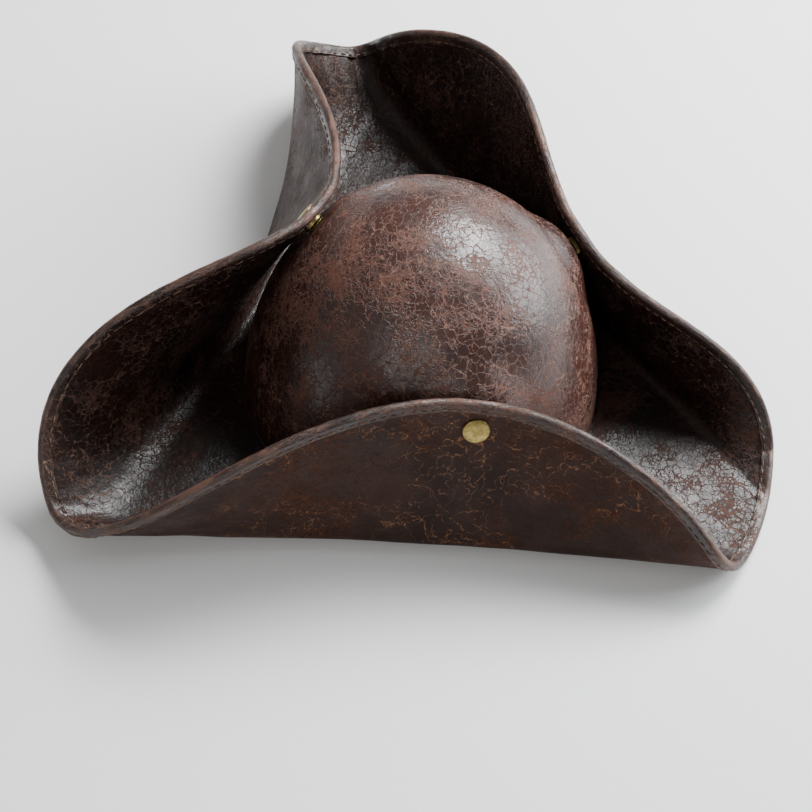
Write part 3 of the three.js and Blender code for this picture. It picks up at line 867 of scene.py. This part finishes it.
def build_band():
    straight = np.linspace(BAND_HEIGHT - 1.2, 1.8, 20)
    levels = np.concatenate([[BAND_HEIGHT, BAND_HEIGHT - 0.5], straight, [1.2]]) / CROWN_HEIGHT

    def relief(points):
        z = points[..., 2]
        rolled = 0.35 * np.exp(-(((z - BAND_HEIGHT + 1.2) / 0.8) ** 2))
        return 0.25 * noise_at(points, 16.0, 8.2) - rolled

    sides, surface = crown_sides(levels, BAND_DEPTH, BAND_DEPTH + BAND_THICKNESS, relief)
    faces, sharp = sheet_faces(len(levels), CROWN_COLUMNS, True)
    points = np.concatenate([side.reshape(-1, 3) for side in sides])
    rest = np.concatenate([surface.reshape(-1, 3)] * 2)
    piece = make_mesh("sweatband_ribbon", points, faces, rest, None, sharp)
    dress(piece, [RIBBON])
    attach(piece, "crown")
    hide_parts("sweatband")


WELT_SIDES = 14
WELT_OUT, WELT_HEIGHT, WELT_RADIUS = 0.55, 4.1, 1.25


def build_welt():
    """The narrow roll of leather where the crown is sewn into the brim."""
    azimuths = np.linspace(0, 360, 361)[:-1]
    points, rest = [], []
    for azimuth in azimuths:
        way = direction(azimuth)
        centre = way * (CROWN_HALF + WELT_OUT)
        thick = WELT_RADIUS + 0.18 * math.sin(azimuth * 0.9) * math.sin(azimuth * 0.31)
        for k in range(WELT_SIDES):
            turn = 2 * math.pi * k / WELT_SIDES
            off = way * thick * 0.9 * math.cos(turn)
            points.append([centre[0] + off[0], centre[1] + off[1], WELT_HEIGHT + thick * math.sin(turn)])
            rest.append([centre[0], centre[1], 3 * k + 100.0])
    count = len(azimuths)
    faces = []
    for column in range(count):
        for k in range(WELT_SIDES):
            here, ahead = column * WELT_SIDES, ((column + 1) % count) * WELT_SIDES
            turned = (k + 1) % WELT_SIDES
            faces.append((here + k, ahead + k, ahead + turned, here + turned))
    piece = make_mesh("crown_welt", points, faces, rest, np.full(len(points), 0.2))
    # The welt sits down in the troughs and takes the brim top's leather, darkened with painted shade.
    dress(piece, [TROUGH_SHADED_UPPER_LEATHER])
    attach(piece, "crown")


# ---- Press studs ----------------------------------------------------------------------------

# Profiles: radius against height along the stud's axis, 0 at the middle of the flap.
SNAP_PROFILES = {
    "cap": [
        (0, -2.7), (1.5, -2.7), (1.7, -2.5), (1.7, 2.15), (6.65, 2.05), (6.95, 2.1), (7.15, 2.35),
        (7.13, 2.65), (6.92, 2.95), (6.5, 3.2), (5.9, 3.34), (4.8, 3.52), (3.4, 3.66), (1.7, 3.74), (0, 3.76),
    ],
    "socket": [
        (5.6, -4.75), (5.8, -4.5), (5.8, -2.6), (5.55, -2.3), (2.1, -2.2), (2.1, -2.9), (3.4, -3.0),
        (3.6, -3.3), (3.35, -3.9), (3.6, -4.5), (3.9, -4.85), (4.7, -4.95), (5.6, -4.75),
    ],
    "stud": [
        (5.3, -6.0), (5.5, -5.8), (5.4, -5.5), (3.6, -5.3), (2.95, -5.1), (2.7, -4.7), (3.05, -4.2),
        (3.1, -3.8), (2.8, -3.35), (2.3, -3.2), (2.1, -3.4), (2.1, -6.0), (5.3, -6.0),
    ],
    "post": [
        (0, -10.95), (2.5, -10.9), (4.4, -10.65), (5.3, -10.3), (5.5, -10.05), (5.35, -9.9), (1.7, -9.85),
        (1.7, -4.4), (1.5, -4.2), (0, -4.2),
    ],
}
SNAP_SIDES = 64


def build_snap(flap_name, part, body):
    centre, axis = STUDS[flap_name]
    turn = Vector((0, 0, 1)).rotation_difference(Vector(axis)).to_matrix()
    profile = SNAP_PROFILES[part]
    closed = profile[0] == profile[-1]
    ring_points = profile[:-1] if closed else profile
    local, rings = [], []
    for radius, height in ring_points:
        if radius == 0:
            rings.append([len(local)] * SNAP_SIDES)
            local.append((0, 0, height))
            continue
        rings.append(list(range(len(local), len(local) + SNAP_SIDES)))
        for k in range(SNAP_SIDES):
            angle = 2 * math.pi * k / SNAP_SIDES
            local.append((radius * math.cos(angle), radius * math.sin(angle), height))
    if closed:
        rings.append(rings[0])
    faces = []
    for low, high in zip(rings, rings[1:]):
        for k in range(SNAP_SIDES):
            n = (k + 1) % SNAP_SIDES
            corners = [low[k], low[n], high[n], high[k]]
            faces.append(tuple(dict.fromkeys(corners)))
    points = [np.array(turn @ Vector(p)) + centre for p in local]
    seed = np.array([0, 40.0 * len(flap_name), 15.0 * len(part)])
    piece = make_mesh(f"{flap_name}_{part}", points, faces, np.array(local) + seed)
    piece.data.set_sharp_from_angle(angle=math.radians(38))
    dress(piece, [BRASS])
    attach(piece, body)
    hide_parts(f"{flap_name}_snap_{part}")


# ---- The whole hat --------------------------------------------------------------------------

BASE_LAYERS = {"front": "brim_under_skin", "right": "brim_core", "left": "brim_upper_skin"}
CORNER_HEMS = {"front": "right_corner_hem", "right": "back_corner_hem", "left": "left_corner_hem"}

for flap_name in FLAPS:
    layers = [f"{flap_name}_flap_{layer}" for layer in ("outer_skin", "core", "inner_skin")]
    sector, cut = build_brim(flap_name, [*layers, BASE_LAYERS[flap_name]])
    hem = build_hem(flap_name, [f"{flap_name}_flap_hem", CORNER_HEMS[flap_name]])
    stitches = [stitch_run(flap_name, height) for height in (STITCH_HEIGHT, -STITCH_HEIGHT)]
    declare_sheet(flap_name)
    for part in ("cap", "socket"):
        build_snap(flap_name, part, f"{flap_name}_flap")
    for part in ("stud", "post"):
        build_snap(flap_name, part, "crown")
build_crown()
build_lining()
build_band()
build_welt()
